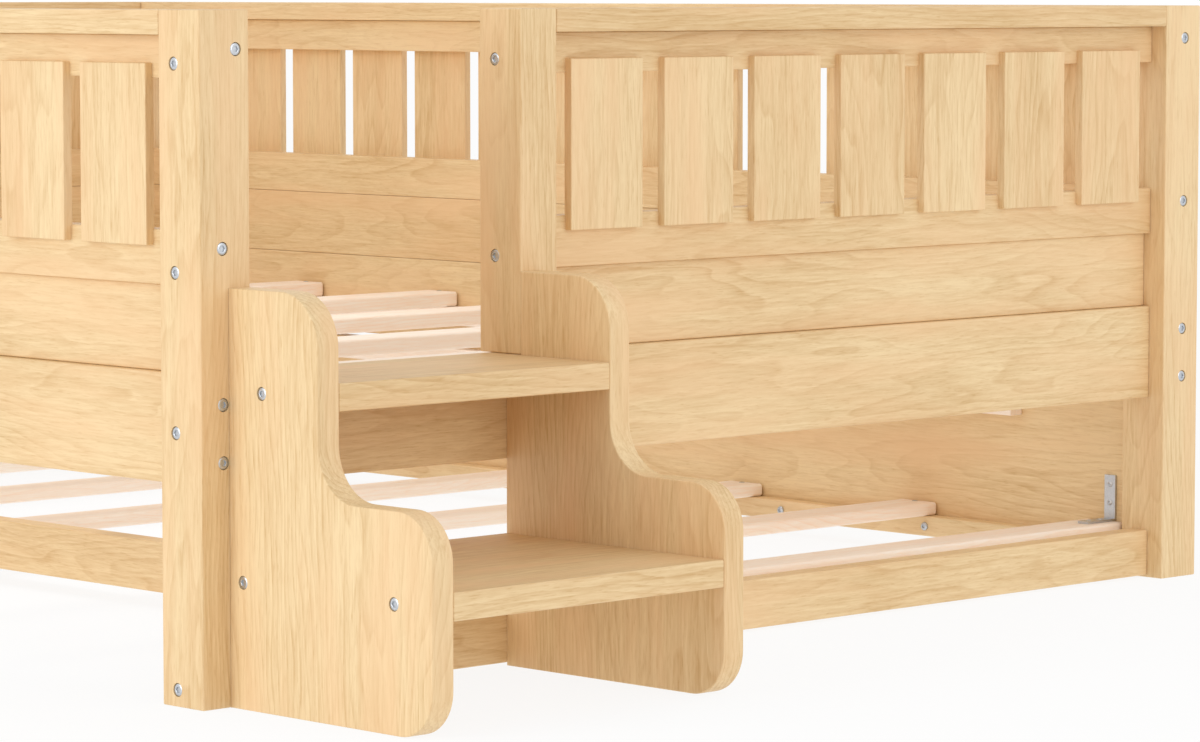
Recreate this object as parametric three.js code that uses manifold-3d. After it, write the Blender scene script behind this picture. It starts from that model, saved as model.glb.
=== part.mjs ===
// A low platform bed with a slatted guard fence on four sides, a foot-end entrance with a two-step stair,
// and a slatted trundle on castors that pulls out from under the right long side.
// Millimetres, +Z up, the foot end at -Y. The origin lies on the floor under the middle of the whole part.
import * as THREE from 'three';
import { mergeVertices } from 'three/addons/utils/BufferGeometryUtils.js';
import Module from 'manifold-3d';

const wasm = await Module();
wasm.setup();

// Driving sizes of the bed frame
const bedWidth = 1665;
const bedLength = 2184;
const postWidth = 68;
const entrancePostWidth = 56;
const entranceWidth = 393; // between the left foot post and the entrance post

// Heights of the stacked side members, from the floor up
const railUndersideHeight = 235;
const railHeight = 119;
const middleBoardHeight = 94;
const lowerGuardRailHeight = 59;
const guardOpeningHeight = 162;
const upperGuardRailHeight = 46;
const capHeight = 27;
const bottomRailUndersideHeight = 3;
const bottomRailHeight = 59;

// Depths of the side members, outward faces measured in from the posts' outer faces
const railSetbackDepth = 24;
const railThickness = 30;
const middleBoardThickness = 20;

// Upright guard boards
const guardBoardWidth = 114;
const guardBoardHeight = 195;
const guardBoardProudDepth = 10; // how far a board stands out from the guard rails
const guardBoardHousingDepth = 2; // how deep a board is let into the guard rails
const guardBoardOverlapHeight = 17; // of a board's lower end over the lower guard rail
const guardEndGap = 35.5; // from an end panel's end to its outer board
const guardBoardGap = 33; // between boards, as near as whole boards allow
// A side panel's gap at the post on its left hand, seen from outside, and the one at its other end
const sideGuardNearGap = 26.5;
const sideGuardFarGap = 40;

// Platform
const platformCleatWidth = 24;
const platformCleatHeight = 27;
const platformCleatLiftHeight = 24.5; // above the side rails' underside
const platformSlatCount = 7;
const platformSlatWidth = 64;
const platformSlatThickness = 22;
const platformSlatEndClearance = 3;
const platformSlatEndGap = 63; // from the foot posts' inner faces to the first slat

// Stair
const stairPanelThickness = 30;
const stairTopHeight = 448;
const stairShoulderHeight = 232;
const stairUpperReachLength = 144; // out from the posts' outer face
const stairLowerReachLength = 321;
const stairTopRadius = 58;
const stairInnerRadius = 58;
const stairShoulderRadius = 52;
const stairToeRadius = 50;
const treadThickness = 30;
const lowerTreadTopHeight = 151;

// Trundle
const trundleEndClearance = 4; // between the trundle's ends and the posts
const trundleBoardThickness = 30;
const trundleBoardUndersideHeight = 20;
const trundleBoardHeight = 208;
const trundleReachLength = 1162; // from the front board's outer face to the rear rail's outer face
const trundleRearRailHeight = 63;
const trundleCleatWidth = 24;
const trundleCleatHeight = 27;
const trundleCleatLiftHeight = 2.5; // above the front board's underside
const trundleSlatCount = 7;
const trundleSlatWidth = 64;
const trundleSlatThickness = 17.5;
const trundleSlatEndClearance = 2;
const topStripEndGap = 180; // from the front board's ends
const topStripHeight = 27;
const topStripDropHeight = 4.5; // below the front board's top edge
const bracketWidth = 18;
const bracketEndDistance = 25; // from the trundle's ends to the bracket's middle
const bracketThickness = 3;
const bracketUprightLegLength = 60;
const bracketFlatLegLength = 57;
const bracketHoleRadius = 2.5;
const bracketBendRadius = 3;
const bracketHoleShares = [0.4, 0.8]; // of each leg's length, from the bend

// Castors
const wheelRadius = 20;
const wheelWidth = 16;
const wheelEdgeRadius = 3;
const wheelHubRadius = 9;
const wheelDishDepth = 2; // how deep the wheel's side is dished between hub and tread
const wheelTreadDepth = 5;
const axlePinRadius = 4;
const axlePinHeadRadius = 6;
const axlePinHeadDepth = 2;
const boreClearance = 0.35;
const forkThickness = 2.5;
const forkArmHeight = 37;
const forkArmOverhangLength = 8; // past the axle's centre
const forkSideClearance = 1;
const forkPlateMarginWidth = 9; // of the mounting plate beside each arm
const wheelToPlateGap = 3;
const castorEndDistance = 132; // from the trundle's ends to the castor's middle

// Edges, bolts and fits
const postEdgeRadius = 2;
const railEdgeRadius = 2;
const slatEdgeRadius = 5;
const stripEdgeRadius = 2;
const guardBoardEdgeRadius = 1.5;
const counterboreRadius = 7.5;
const counterboreDepth = 4;
const jointClearance = 0.3; // clearance at each seat

// Bolt places, as shares of the height of the member that the bolt holds
const sideBoltShares = { rail: [0.23, 0.75], lowerGuardRail: [0.71], upperGuardRail: [0.68] };
const endBoltShares = { bottomRail: [0.26], rail: [0.49], lowerGuardRail: [0.27], upperGuardRail: [0.35] };
// Of the bolts from the middle of the thickness of the rail that they hold
const endBoltInsetDistance = 4;
const sideBoltOutsetDistance = 8.5;
const leftTopBoltInsetDistance = 11;
const upperTreadBoltShare = 0.54; // of the tread's depth, from its front edge
const lowerTreadBoltShares = [0.17, 0.87];

// Round counts. A shape's arc gets twice its count of segments.
const edgeSegments = 1;
const boreSegments = 16;
const wheelSegments = 24;
const stairSegments = 6;

// Heights that follow from the stack
const railTop = railUndersideHeight + railHeight;
const middleBoardTop = railTop + middleBoardHeight;
const lowerGuardRailTop = middleBoardTop + lowerGuardRailHeight;
const upperGuardRailUnderside = lowerGuardRailTop + guardOpeningHeight;
const guardTop = upperGuardRailUnderside + upperGuardRailHeight;
const bedHeight = guardTop + capHeight;
const railInnerFace = railSetbackDepth + railThickness;
const entrancePostNear = postWidth + entranceWidth;
const entrancePostFar = entrancePostNear + entrancePostWidth;

const part = new THREE.Group();
part.position.set(-bedWidth / 2, -(bedLength - stairLowerReachLength) / 2, 0);

// Materials

function paintedLike(color, roughness, metalness) {
  return new THREE.MeshStandardMaterial({ color, roughness, metalness });
}

const finishedWood = () => paintedLike(0xe7c690, 0.5, 0);
const rawPine = () => paintedLike(0xf1d3b1, 0.7, 0);
const zincSteel = () => paintedLike(0xb9bdc1, 0.35, 0.9);
const wheelPlastic = () => paintedLike(0x35363a, 0.55, 0);

// Helpers

function place(name, geometry, material, position = [0, 0, 0], turn = 0) {
  const mesh = new THREE.Mesh(geometry, material);
  mesh.name = name;
  mesh.position.set(...position);
  mesh.rotation.z = turn;
  part.add(mesh);
  return mesh;
}

function solid(geometry) {
  const bare = geometry.clone();
  bare.deleteAttribute('normal');
  bare.deleteAttribute('uv');
  const welded = mergeVertices(bare);
  return new wasm.Manifold(new wasm.Mesh({
    numProp: 3,
    vertProperties: welded.attributes.position.array,
    triVerts: Uint32Array.from(welded.index.array),
  }));
}

function geometryOf(manifold) {
  const mesh = manifold.getMesh();
  const geometry = new THREE.BufferGeometry();
  geometry.setAttribute('position', new THREE.BufferAttribute(mesh.vertProperties, 3));
  geometry.setIndex(new THREE.BufferAttribute(mesh.triVerts, 1));
  geometry.computeVertexNormals();
  return geometry;
}

// A rectangle with its lower corner at 0, 0 and its four corners rounded.
function roundedRectangle(width, height, radius) {
  const shape = new THREE.Shape();
  shape.moveTo(radius, 0);
  shape.lineTo(width - radius, 0);
  shape.absarc(width - radius, radius, radius, -Math.PI / 2, 0);
  shape.lineTo(width, height - radius);
  shape.absarc(width - radius, height - radius, radius, 0, Math.PI / 2);
  shape.lineTo(radius, height);
  shape.absarc(radius, height - radius, radius, Math.PI / 2, Math.PI);
  shape.lineTo(0, radius);
  shape.absarc(radius, radius, radius, Math.PI, Math.PI * 1.5);
  return shape;
}

// Turns an extrusion along z so that it runs along x, y or z, the other two axes in cyclic order.
const unit = [new THREE.Vector3(1, 0, 0), new THREE.Vector3(0, 1, 0), new THREE.Vector3(0, 0, 1)];
const basisAlong = {
  x: new THREE.Matrix4().makeBasis(unit[1], unit[2], unit[0]),
  y: new THREE.Matrix4().makeBasis(unit[2], unit[0], unit[1]),
  z: new THREE.Matrix4().makeBasis(unit[0], unit[1], unit[2]),
};

function extrudeAlong(axis, shape, length, curveSegments) {
  const geometry = new THREE.ExtrudeGeometry(shape, { depth: length, bevelEnabled: false, curveSegments });
  return geometry.applyMatrix4(basisAlong[axis]);
}

// A straight stick of the given size with its four long edges rounded, its lower corner at 0, 0, 0.
function stick(size, axis, edgeRadius) {
  const [dx, dy, dz] = size;
  const section = { x: [dy, dz, dx], y: [dz, dx, dy], z: [dx, dy, dz] }[axis];
  const radius = Math.min(edgeRadius, section[0] / 2, section[1] / 2);
  return extrudeAlong(axis, roundedRectangle(section[0], section[1], radius), section[2], edgeSegments);
}

function boxBetween(low, high) {
  const size = high.map((value, axis) => value - low[axis]);
  const box = new THREE.BoxGeometry(...size);
  return box.translate(...low.map((value, axis) => value + size[axis] / 2));
}

// A round tool along x, y or z that cuts to the given depth on both sides of a point on a face.
function drill(axis, point, radius, depth) {
  const cylinder = new THREE.CylinderGeometry(radius, radius, depth * 2, boreSegments);
  if (axis === 'x') cylinder.rotateZ(-Math.PI / 2);
  if (axis === 'z') cylinder.rotateX(Math.PI / 2);
  return solid(cylinder.translate(...point));
}

function cut(geometry, tools) {
  return geometryOf(tools.reduce((body, tool) => body.subtract(tool), solid(geometry)));
}

// Each share's height on a member that stands at base.
const heightsOn = (base, height, shares) => shares.map((share) => base + height * share);

// The four sides of the frame. Each is laid out in a frame of its own, in which x runs along the side from
// the post on its left hand as seen from outside, and y points inward from the posts' outer faces.
const endGaps = [guardEndGap, guardEndGap];
const sideGaps = [sideGuardNearGap, sideGuardFarGap];
const sides = {
  foot: {
    length: bedWidth, origin: [0, 0], turn: 0, guardStart: entrancePostFar, gaps: endGaps,
  },
  right: {
    length: bedLength, origin: [bedWidth, 0], turn: Math.PI / 2, guardStart: postWidth, gaps: sideGaps,
  },
  head: {
    length: bedWidth, origin: [bedWidth, bedLength], turn: Math.PI, guardStart: postWidth, gaps: endGaps,
  },
  left: {
    length: bedLength, origin: [0, bedLength], turn: -Math.PI / 2, guardStart: postWidth, gaps: sideGaps,
  },
};

function placeOnSide(sideName, name, geometry, along, inward, height) {
  const { origin, turn } = sides[sideName];
  const x = origin[0] + along * Math.cos(turn) - inward * Math.sin(turn);
  const y = origin[1] + along * Math.sin(turn) + inward * Math.cos(turn);
  return place(name, geometry, finishedWood(), [x, y, height], turn);
}

// Corner posts, with counterbores for the bolts into the end members and the side members

function cornerPost(name, isRight, isHead) {
  const x = isRight ? bedWidth - postWidth : 0;
  const y = isHead ? bedLength - postWidth : 0;
  const outerX = isRight ? postWidth : 0;
  const outerY = isHead ? postWidth : 0;
  const railMiddle = railSetbackDepth + railThickness / 2;
  const acrossFromOuter = (offset, outer) => (outer ? postWidth - offset : offset);
  const endHeights = [
    ...heightsOn(bottomRailUndersideHeight, bottomRailHeight, endBoltShares.bottomRail),
    ...heightsOn(railUndersideHeight, railHeight, endBoltShares.rail),
    ...heightsOn(middleBoardTop, lowerGuardRailHeight, endBoltShares.lowerGuardRail),
    ...heightsOn(upperGuardRailUnderside, upperGuardRailHeight, endBoltShares.upperGuardRail),
  ];
  const sideHeights = [
    ...heightsOn(railUndersideHeight, railHeight, sideBoltShares.rail),
    ...heightsOn(middleBoardTop, lowerGuardRailHeight, sideBoltShares.lowerGuardRail),
  ];
  const topHeights = heightsOn(upperGuardRailUnderside, upperGuardRailHeight, sideBoltShares.upperGuardRail);
  const topInset = isRight ? -sideBoltOutsetDistance : leftTopBoltInsetDistance;
  const endY = acrossFromOuter(railMiddle + endBoltInsetDistance, outerY);
  const sideX = acrossFromOuter(railMiddle - sideBoltOutsetDistance, outerX);
  const topX = acrossFromOuter(railMiddle + topInset, outerX);
  const tools = [
    ...endHeights.map((z) => drill('x', [outerX, endY, z], counterboreRadius, counterboreDepth)),
    ...sideHeights.map((z) => drill('y', [sideX, outerY, z], counterboreRadius, counterboreDepth)),
    ...topHeights.map((z) => drill('y', [topX, outerY, z], counterboreRadius, counterboreDepth)),
  ];
  const body = stick([postWidth, postWidth, bedHeight], 'z', postEdgeRadius);
  place(name, cut(body, tools), finishedWood(), [x, y, 0]);
}

function entrancePost() {
  const height = bedHeight - railTop - jointClearance;
  const boltY = railSetbackDepth + railThickness / 2 + endBoltInsetDistance;
  const heights = [
    ...heightsOn(middleBoardTop, lowerGuardRailHeight, endBoltShares.lowerGuardRail),
    ...heightsOn(upperGuardRailUnderside, upperGuardRailHeight, endBoltShares.upperGuardRail),
  ];
  const base = railTop + jointClearance;
  const tools = heights.map((z) => drill('x', [0, boltY, z - base], counterboreRadius, counterboreDepth));
  const body = stick([entrancePostWidth, postWidth, height], 'z', postEdgeRadius);
  place('post_entrance', cut(body, tools), finishedWood(), [entrancePostNear, 0, base]);
}

// Members between the posts

function sideMember(sideName, name, start, setback, thickness, base, height, edgeRadius) {
  const span = sides[sideName].length - postWidth - jointClearance - start - jointClearance;
  const body = stick([span, thickness, height - jointClearance], 'x', edgeRadius);
  placeOnSide(sideName, name, body, start + jointClearance, setback, base + jointClearance);
}

// The middle board's inner face lies flush with the rail's.
const middleBoardSetbackDepth = railInnerFace - middleBoardThickness;

function sideMembers(sideName) {
  const start = sides[sideName].guardStart;
  sideMember(sideName, `${sideName}_rail`, postWidth, railSetbackDepth, railThickness,
    railUndersideHeight, railHeight, railEdgeRadius);
  sideMember(sideName, `${sideName}_middle_board`, start, middleBoardSetbackDepth, middleBoardThickness,
    railTop, middleBoardHeight, stripEdgeRadius);
  sideMember(sideName, `${sideName}_cap`, start, 0, postWidth, guardTop, capHeight, railEdgeRadius);
}

function bottomRail(sideName) {
  sideMember(sideName, `${sideName}_bottom_rail`, postWidth, railSetbackDepth, railThickness,
    bottomRailUndersideHeight, bottomRailHeight, railEdgeRadius);
}

// A guard panel: two rails, and upright boards let into their outward faces.
function guardPanel(sideName) {
  const { length, guardStart, gaps: [nearGap, farGap] } = sides[sideName];
  const span = length - postWidth - jointClearance - guardStart - jointClearance;
  const lowerRailHeight = lowerGuardRailHeight - jointClearance;
  const lowerRail = stick([span, railThickness, lowerRailHeight], 'x', stripEdgeRadius);
  const upperRail = stick([span, railThickness, upperGuardRailHeight], 'x', stripEdgeRadius)
    .translate(0, 0, lowerRailHeight + guardOpeningHeight);
  let panel = solid(lowerRail).add(solid(upperRail));
  const boardsSpan = span - nearGap - farGap;
  const count = Math.round((boardsSpan + guardBoardGap) / (guardBoardWidth + guardBoardGap));
  const pitch = (boardsSpan - guardBoardWidth) / (count - 1);
  const boardSize = [guardBoardWidth, guardBoardProudDepth + guardBoardHousingDepth, guardBoardHeight];
  for (let index = 0; index < count; index += 1) {
    const board = stick(boardSize, 'z', guardBoardEdgeRadius);
    board.translate(nearGap + index * pitch, -guardBoardProudDepth,
      lowerRailHeight - guardBoardOverlapHeight);
    panel = panel.add(solid(board));
  }
  placeOnSide(sideName, `${sideName}_guard_panel`, geometryOf(panel), guardStart + jointClearance,
    railSetbackDepth, middleBoardTop + jointClearance);
}

// Platform

const platformCleatTop = railUndersideHeight + platformCleatLiftHeight + platformCleatHeight;
const innerLength = bedLength - 2 * postWidth;

function platformCleats() {
  const size = [platformCleatWidth, innerLength - 2 * jointClearance, platformCleatHeight];
  const start = postWidth + jointClearance;
  const base = railUndersideHeight + platformCleatLiftHeight;
  const nearX = railInnerFace + jointClearance;
  const farX = bedWidth - nearX - platformCleatWidth;
  const cleat = () => stick(size, 'y', stripEdgeRadius);
  place('platform_cleat_left', cleat(), rawPine(), [nearX, start, base]);
  place('platform_cleat_right', cleat(), rawPine(), [farX, start, base]);
}

function platformSlats() {
  const slatLength = bedWidth - 2 * (railInnerFace + platformSlatEndClearance);
  const size = [slatLength, platformSlatWidth, platformSlatThickness];
  const pitch = (innerLength - 2 * platformSlatEndGap - platformSlatWidth) / (platformSlatCount - 1);
  for (let index = 0; index < platformSlatCount; index += 1) {
    const y = postWidth + platformSlatEndGap + index * pitch;
    const position = [railInnerFace + platformSlatEndClearance, y, platformCleatTop + jointClearance];
    place(`platform_slat_${index + 1}`, stick(size, 'x', slatEdgeRadius), rawPine(), position);
  }
}

// Stair

// The panel's side outline in y and z, the front at -y. A notch at the back of the right panel takes the
// entrance post.
function stairOutline(rear, notchHeight) {
  const lowerFront = -stairLowerReachLength;
  const upperFront = -stairUpperReachLength;
  const shape = new THREE.Shape();
  shape.moveTo(rear, 0);
  shape.lineTo(lowerFront + stairToeRadius, 0);
  shape.absarc(lowerFront + stairToeRadius, stairToeRadius, stairToeRadius, -Math.PI / 2, -Math.PI, true);
  shape.lineTo(lowerFront, stairShoulderHeight - stairShoulderRadius);
  shape.absarc(lowerFront + stairShoulderRadius, stairShoulderHeight - stairShoulderRadius,
    stairShoulderRadius, Math.PI, Math.PI / 2, true);
  shape.lineTo(upperFront - stairInnerRadius, stairShoulderHeight);
  shape.absarc(upperFront - stairInnerRadius, stairShoulderHeight + stairInnerRadius, stairInnerRadius,
    -Math.PI / 2, 0, false);
  shape.lineTo(upperFront, stairTopHeight - stairTopRadius);
  shape.absarc(upperFront + stairTopRadius, stairTopHeight - stairTopRadius, stairTopRadius, Math.PI,
    Math.PI / 2, true);
  shape.lineTo(-jointClearance, stairTopHeight);
  if (notchHeight) {
    shape.lineTo(-jointClearance, notchHeight);
    shape.lineTo(rear, notchHeight);
  }
  shape.closePath();
  return shape;
}

const upperTreadMiddle = railTop - treadThickness / 2;
const lowerTreadMiddle = lowerTreadTopHeight - treadThickness / 2;
const treadRear = railSetbackDepth - jointClearance;

// Counterbore centres on a stair panel's outward face, in y and z
function stairBoltPlaces() {
  const along = (reach, share) => -reach + share * (reach + treadRear);
  return [
    [along(stairUpperReachLength, upperTreadBoltShare), upperTreadMiddle],
    ...lowerTreadBoltShares.map((share) => [along(stairLowerReachLength, share), lowerTreadMiddle]),
  ];
}

function stairPanel(name, x, rear, notchHeight, outwardX) {
  const body = extrudeAlong('x', stairOutline(rear, notchHeight), stairPanelThickness, stairSegments);
  const tools = stairBoltPlaces().map(([y, z]) => drill('x', [outwardX, y, z], counterboreRadius,
    counterboreDepth));
  place(name, cut(body, tools), finishedWood(), [x, 0, 0]);
}

function tread(name, reach, top) {
  const size = [entranceWidth - 2 * jointClearance, reach + treadRear, treadThickness];
  const position = [postWidth + jointClearance, -reach, top - treadThickness];
  place(name, stick(size, 'x', railEdgeRadius), finishedWood(), position);
}

function stair() {
  stairPanel('stair_panel_left', postWidth - stairPanelThickness, -jointClearance, 0, 0);
  stairPanel('stair_panel_right', entrancePostNear, treadRear, railTop, stairPanelThickness);
  tread('stair_tread_upper', stairUpperReachLength, railTop);
  tread('stair_tread_lower', stairLowerReachLength, lowerTreadTopHeight);
}

// Trundle

const trundleStart = postWidth + trundleEndClearance;
const trundleLength = bedLength - 2 * trundleStart;
const trundleFrontOuter = bedWidth - railSetbackDepth;
const trundleFrontInner = trundleFrontOuter - trundleBoardThickness;
const trundleRearOuter = trundleFrontOuter - trundleReachLength;
const trundleRearInner = trundleRearOuter + trundleBoardThickness;
const trundleCleatBase = trundleBoardUndersideHeight + trundleCleatLiftHeight;
const trundleCleatTop = trundleCleatBase + trundleCleatHeight;
const trundleSlatTop = trundleCleatTop + jointClearance + trundleSlatThickness;

function trundleFrame() {
  const along = (width, height, edgeRadius) => stick([width, trundleLength, height], 'y', edgeRadius);
  place('trundle_front_board', along(trundleBoardThickness, trundleBoardHeight, railEdgeRadius),
    finishedWood(), [trundleFrontInner, trundleStart, trundleBoardUndersideHeight]);
  place('trundle_rear_rail', along(trundleBoardThickness, trundleRearRailHeight, railEdgeRadius),
    finishedWood(), [trundleRearOuter, trundleStart, trundleBoardUndersideHeight]);
  const frontStripX = trundleFrontInner - jointClearance - trundleCleatWidth;
  place('trundle_cleat_front', along(trundleCleatWidth, trundleCleatHeight, stripEdgeRadius),
    finishedWood(), [frontStripX, trundleStart, trundleCleatBase]);
  place('trundle_cleat_rear', along(trundleCleatWidth, trundleCleatHeight, stripEdgeRadius),
    finishedWood(), [trundleRearInner + jointClearance, trundleStart, trundleCleatBase]);
  const stripSize = [trundleCleatWidth, trundleLength - 2 * topStripEndGap, topStripHeight];
  const stripBase = trundleBoardUndersideHeight + trundleBoardHeight - topStripDropHeight - topStripHeight;
  place('trundle_top_strip', stick(stripSize, 'y', stripEdgeRadius), rawPine(),
    [frontStripX, trundleStart + topStripEndGap, stripBase]);
}

function trundleSlats() {
  const start = trundleRearInner + trundleSlatEndClearance;
  const size = [trundleFrontInner - trundleSlatEndClearance - start, trundleSlatWidth, trundleSlatThickness];
  const pitch = (trundleLength - trundleSlatWidth) / (trundleSlatCount - 1);
  for (let index = 0; index < trundleSlatCount; index += 1) {
    const position = [start, trundleStart + index * pitch, trundleCleatTop + jointClearance];
    place(`trundle_slat_${index + 1}`, stick(size, 'x', slatEdgeRadius), rawPine(), position);
  }
}

// An angle bracket from an end slat up the front board, with two screw holes in each leg.
// Its own frame has x toward the board, 0 at the board's face, and z up from the slat.
function bracketGeometry() {
  const shape = new THREE.Shape();
  shape.moveTo(-bracketFlatLegLength, 0);
  shape.lineTo(-bracketBendRadius, 0);
  shape.absarc(-bracketBendRadius, bracketBendRadius, bracketBendRadius, -Math.PI / 2, 0, false);
  shape.lineTo(0, bracketUprightLegLength);
  shape.lineTo(-bracketThickness, bracketUprightLegLength);
  shape.lineTo(-bracketThickness, bracketThickness);
  shape.lineTo(-bracketFlatLegLength, bracketThickness);
  shape.closePath();
  const plate = new THREE.ExtrudeGeometry(shape,
    { depth: bracketWidth, bevelEnabled: false, curveSegments: edgeSegments });
  plate.rotateX(Math.PI / 2).translate(0, bracketWidth / 2, 0);
  const middle = bracketThickness / 2;
  const hole = (axis, point) => drill(axis, point, bracketHoleRadius, bracketThickness);
  const tools = bracketHoleShares.flatMap((share) => [
    hole('x', [-middle, 0, bracketUprightLegLength * share]),
    hole('z', [-bracketFlatLegLength * share, 0, middle]),
  ]);
  return cut(plate, tools);
}

function brackets() {
  const x = trundleFrontInner - jointClearance;
  const z = trundleSlatTop + jointClearance;
  const footY = trundleStart + bracketEndDistance;
  place('trundle_bracket_foot', bracketGeometry(), zincSteel(), [x, footY, z]);
  place('trundle_bracket_head', bracketGeometry(), zincSteel(), [x, bedLength - footY, z]);
}

// A castor's frame has its origin on the axle's middle, y along the axle, and x toward its cleat.
const forkArmInner = wheelWidth / 2 + forkSideClearance;
const forkArmOuter = forkArmInner + forkThickness;
const forkPlateFace = wheelRadius + wheelToPlateGap;
const forkPlateBack = forkPlateFace + forkThickness;

function forkGeometry() {
  const armTop = trundleCleatTop - wheelRadius;
  const arm = (low, high) => boxBetween([-forkArmOverhangLength, low, armTop - forkArmHeight],
    [forkPlateBack, high, armTop]);
  const plateReach = forkArmOuter + forkPlateMarginWidth;
  const plate = boxBetween([forkPlateFace, -plateReach, trundleCleatBase - wheelRadius],
    [forkPlateBack, plateReach, armTop]);
  const pinEnd = forkArmOuter + axlePinHeadDepth;
  const pin = new THREE.CylinderGeometry(axlePinRadius, axlePinRadius, 2 * forkArmOuter, boreSegments);
  const head = (y) => new THREE.CylinderGeometry(axlePinHeadRadius, axlePinHeadRadius,
    axlePinHeadDepth + forkThickness / 2, boreSegments).translate(0, y, 0);
  const headMiddle = pinEnd - (axlePinHeadDepth + forkThickness / 2) / 2;
  return geometryOf([
    arm(-forkArmOuter, -forkArmInner), arm(forkArmInner, forkArmOuter), plate, head(headMiddle),
    head(-headMiddle),
  ].reduce((body, piece) => body.add(solid(piece)), solid(pin)));
}

// The wheel turns about y. Its half profile runs from the bore out to the tread, dished between hub and rim.
function wheelGeometry() {
  const bore = axlePinRadius + boreClearance;
  const half = wheelWidth / 2;
  const dished = half - wheelDishDepth;
  const rim = wheelRadius - wheelTreadDepth;
  const oneSide = [
    [bore, half], [wheelHubRadius, half], [wheelHubRadius, dished], [rim, dished], [rim, half],
    [wheelRadius - wheelEdgeRadius, half], [wheelRadius, half - wheelEdgeRadius],
  ];
  const otherSide = oneSide.map(([radius, y]) => [radius, -y]);
  const profile = [...otherSide, ...oneSide.toReversed()];
  const points = profile.map(([radius, y]) => new THREE.Vector2(radius, y));
  points.push(points[0].clone());
  return geometryOf(solid(new THREE.LatheGeometry(points, wheelSegments)));
}

function castors() {
  const frontCleatFace = trundleFrontInner - jointClearance - trundleCleatWidth;
  const rearCleatFace = trundleRearInner + jointClearance + trundleCleatWidth;
  const axleToCleat = forkPlateBack + jointClearance;
  const footY = trundleStart + castorEndDistance;
  const places = [
    ['front_foot', frontCleatFace - axleToCleat, footY, 0],
    ['front_head', frontCleatFace - axleToCleat, bedLength - footY, 0],
    ['rear_foot', rearCleatFace + axleToCleat, footY, Math.PI],
    ['rear_head', rearCleatFace + axleToCleat, bedLength - footY, Math.PI],
  ];
  for (const [name, x, y, turn] of places) {
    place(`castor_fork_${name}`, forkGeometry(), zincSteel(), [x, y, wheelRadius], turn);
    place(`castor_wheel_${name}`, wheelGeometry(), wheelPlastic(), [x, y, wheelRadius]);
  }
}

cornerPost('post_foot_left', false, false);
cornerPost('post_foot_right', true, false);
cornerPost('post_head_left', false, true);
cornerPost('post_head_right', true, true);
entrancePost();
for (const sideName of Object.keys(sides)) {
  sideMembers(sideName);
  guardPanel(sideName);
}
bottomRail('foot');
bottomRail('head');
platformCleats();
platformSlats();
stair();
trundleFrame();
trundleSlats();
brackets();
castors();

export default part;
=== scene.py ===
"""Looks of a low platform bed with a slatted guard fence, a two-step stair and a trundle on castors.

Everything is in metres in the part's own frame: the foot end with the stair at -Y, the trundle pulling out
toward +X, and the floor at height 0. Each wooden piece takes its place from the solid that it stands for.
"""

import math

import bpy
import numpy as np
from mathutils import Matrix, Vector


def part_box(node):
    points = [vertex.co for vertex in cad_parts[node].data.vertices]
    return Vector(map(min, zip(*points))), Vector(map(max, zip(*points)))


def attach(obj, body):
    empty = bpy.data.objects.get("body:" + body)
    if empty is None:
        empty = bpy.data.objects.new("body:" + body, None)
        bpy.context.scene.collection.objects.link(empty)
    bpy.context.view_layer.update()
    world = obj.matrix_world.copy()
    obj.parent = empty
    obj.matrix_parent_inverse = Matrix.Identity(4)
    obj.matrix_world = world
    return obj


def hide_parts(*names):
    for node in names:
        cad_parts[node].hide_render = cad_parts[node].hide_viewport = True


bl_info = {
    "name": "Platform bed with trundle",
    "version": (1, 0, 0),
    "blender": (4, 5, 0),
    "location": "3D View > Sidebar > Bed",
    "description": "Builds the wooden pieces, hardware and studio of a low platform bed with a trundle",
    "category": "Object",
}

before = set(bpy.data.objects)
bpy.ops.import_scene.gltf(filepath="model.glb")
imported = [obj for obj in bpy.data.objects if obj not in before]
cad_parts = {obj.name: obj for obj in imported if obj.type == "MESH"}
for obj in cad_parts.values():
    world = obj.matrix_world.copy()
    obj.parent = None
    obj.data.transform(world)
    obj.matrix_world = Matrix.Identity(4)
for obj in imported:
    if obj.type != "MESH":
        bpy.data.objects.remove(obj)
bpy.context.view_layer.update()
MM = 0.001
SIDES = ("foot", "right", "head", "left")
ENDS = ("foot", "head")
HANDS = ("left", "right")
CASTORS = ("front_foot", "front_head", "rear_foot", "rear_head")
X, Y, Z = 0, 1, 2


def linear(code):
    """The linear red, green and blue of an sRGB hex colour."""
    values = np.array([int(code[i:i + 2], 16) for i in (1, 3, 5)]) / 255
    low = values / 12.92
    high = ((values + 0.055) / 1.055) ** 2.4
    return tuple(np.where(values <= 0.04045, low, high).tolist())


def length_property(name, default_mm, description):
    """A size that a user can change, kept in metres."""
    return bpy.props.FloatProperty(name=name, description=description, default=default_mm * MM, min=0.0,
                                   unit="LENGTH", precision=4)


def colour_property(name, code, description):
    """A colour that a user can change, from its sRGB hex value."""
    return bpy.props.FloatVectorProperty(name=name, description=description, default=linear(code), size=3,
                                         subtype="COLOR", min=0.0, max=1.0)


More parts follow.
